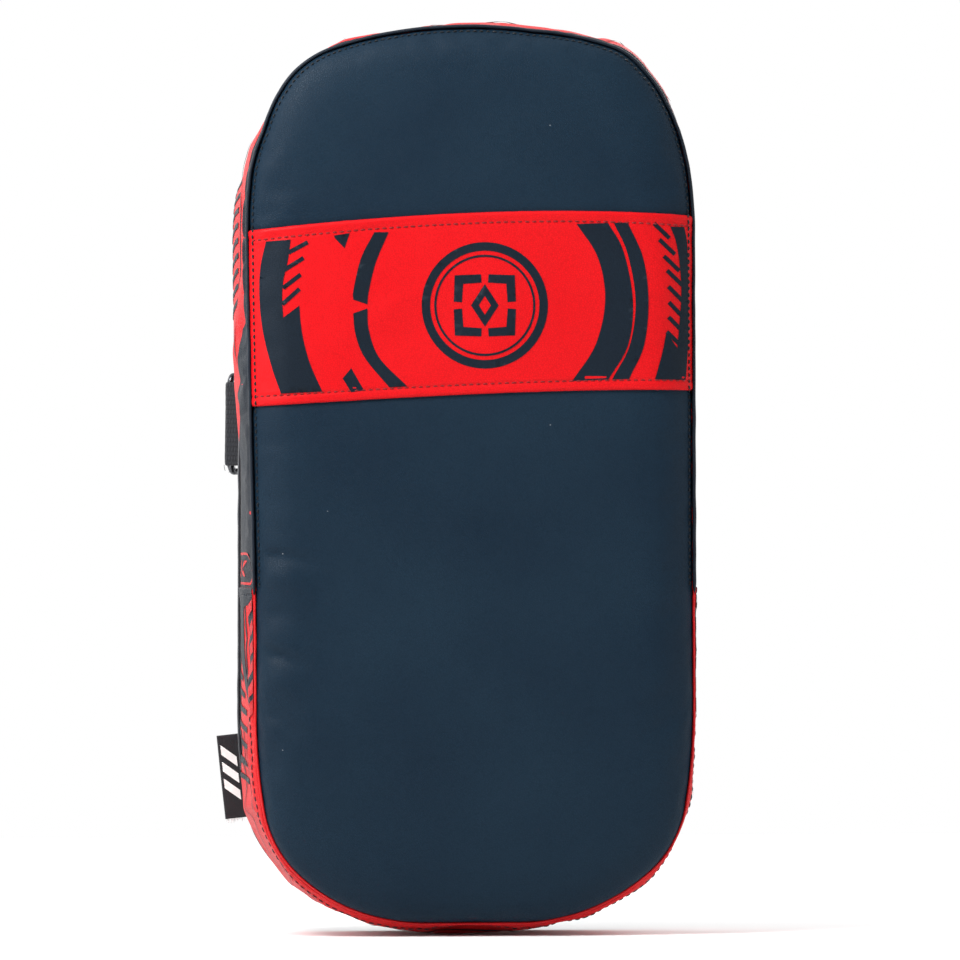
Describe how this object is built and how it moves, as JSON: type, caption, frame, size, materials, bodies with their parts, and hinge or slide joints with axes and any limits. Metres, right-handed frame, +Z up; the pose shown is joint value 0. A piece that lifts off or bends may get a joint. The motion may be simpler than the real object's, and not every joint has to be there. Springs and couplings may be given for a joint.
{
  "type": "thai pad",
  "caption": "Strike pad for martial arts: foam body in stitched leather, a grip bar and two forearm straps behind it.",
  "frame": {"origin": "centre of the base of the object's box, which is the lowest point of the side wall", "axes": "+Z up along the pad's height, +X along its width, -Y out of the strike face, +Y towards the grip"},
  "size_m": [0.2176, 0.1688, 0.412],
  "materials": {
    "face_leather": "satin",
    "band_leather": "satin",
    "side_leather": "satin",
    "back_leather": "matte",
    "grip_leather": "satin",
    "binding_tape": "matte",
    "webbing": "matte",
    "loop_pile": "matte",
    "hook_tape": "matte",
    "label_satin": "satin",
    "ring_metal": "polished",
    "rivet_metal": "satin",
    "soft_foam": "matte",
    "firm_foam": "matte",
    "board_plastic": "matte",
    "grip_rubber": "matte"
  },
  "bodies": {
    "pad": {"front_panel_upper": "face_leather", "front_band": "band_leather", "front_panel_lower": "face_leather", "front_welt": "binding_tape", "gusset_upper": "side_leather", "gusset_lower": "side_leather", "back_panel": "back_leather", "rear_binding": "binding_tape", "strike_foam": "soft_foam", "core_foam": "firm_foam", "backing_foam": "firm_foam", "backing_board": "board_plastic", "forearm_foam": "soft_foam", "forearm_cover": "back_leather", "handle_foot_left": "webbing", "handle_foot_right": "webbing", "handle_patch_left": "back_leather", "handle_patch_right": "back_leather", "handle_rivets": "rivet_metal", "upper_strap": "webbing", "upper_strap_patch": "back_leather", "upper_loop_patch": "loop_pile", "upper_ring": "ring_metal", "upper_ring_tab": "webbing", "upper_tab_patch": "back_leather", "lower_strap": "webbing", "lower_strap_patch": "back_leather", "lower_loop_patch": "loop_pile", "lower_ring": "ring_metal", "lower_ring_tab": "webbing", "lower_tab_patch": "back_leather"},
    "handle": {"handle_core": "grip_rubber", "handle_wrap": "grip_leather", "handle_webbing": "webbing"},
    "label": {"side_label": "label_satin"},
    "upper_tongue": {"upper_tongue": "webbing", "upper_hook_patch": "hook_tape"},
    "lower_tongue": {"lower_tongue": "webbing", "lower_hook_patch": "hook_tape"}
  },
  "joints": [
    {"name": "handle_tilt", "type": "hinge", "parent": "pad", "child": "handle", "pos_m": [0.0042, 0.016, 0.328], "axis": [1, 0, 0], "range_deg": [-15, 15], "stiffness_Nm_per_rad": 2},
    {"name": "label_bend", "type": "hinge", "parent": "pad", "child": "label", "pos_m": [-0.0971, 0.00745, 0.071], "axis": [-0.108, 0, 0.9942], "range_deg": [-60, 20], "stiffness_Nm_per_rad": 0.0005},
    {"name": "upper_tongue_peel", "type": "hinge", "parent": "pad", "child": "upper_tongue", "pos_m": [-0.09533, 0.0409, 0.2298], "axis": [0, 0, 1], "range_deg": [0, 150]},
    {"name": "lower_tongue_peel", "type": "hinge", "parent": "pad", "child": "lower_tongue", "pos_m": [-0.08315, 0.05592, 0.106], "axis": [0, 0, 1], "range_deg": [0, 150]}
  ]
}
